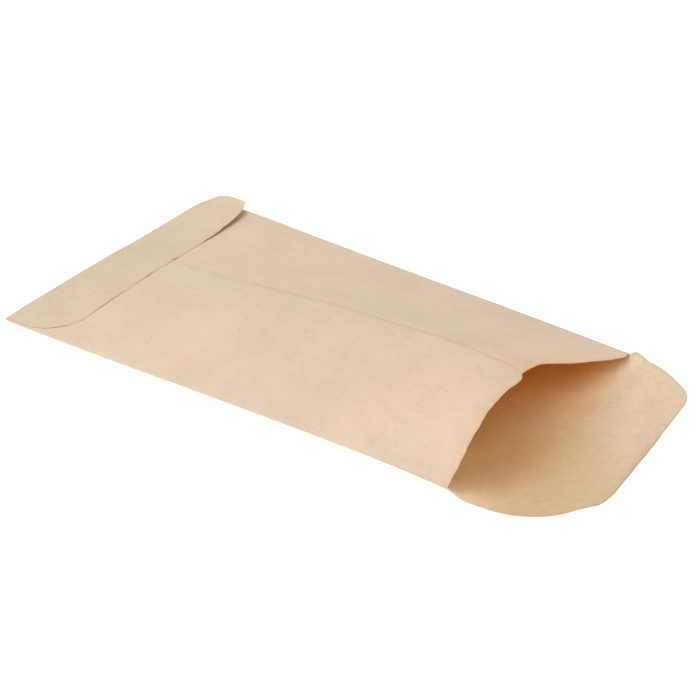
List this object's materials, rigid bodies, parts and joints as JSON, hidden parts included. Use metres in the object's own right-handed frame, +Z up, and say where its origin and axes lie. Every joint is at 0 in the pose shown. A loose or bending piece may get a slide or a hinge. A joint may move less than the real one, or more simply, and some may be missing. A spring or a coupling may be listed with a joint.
{
  "type": "open-end kraft paper bag",
  "caption": "Small flat kraft paper bag, lying seam side up, with a gaping mouth, a long bowed closing flap and a glued bottom flap.",
  "frame": {"origin": "on the surface the bag lies on, below the middle of its outline", "axes": "+X from the bottom fold to the mouth and the closing flap, +Y from the near fold to the far one, +Z up out of the seam side"},
  "size_m": [0.1229, 0.06, 0.012],
  "materials": {
    "kraft_paper": "uncoated"
  },
  "bodies": {
    "root": {"folded_sheet": "kraft_paper"}
  },
  "joints": []
}
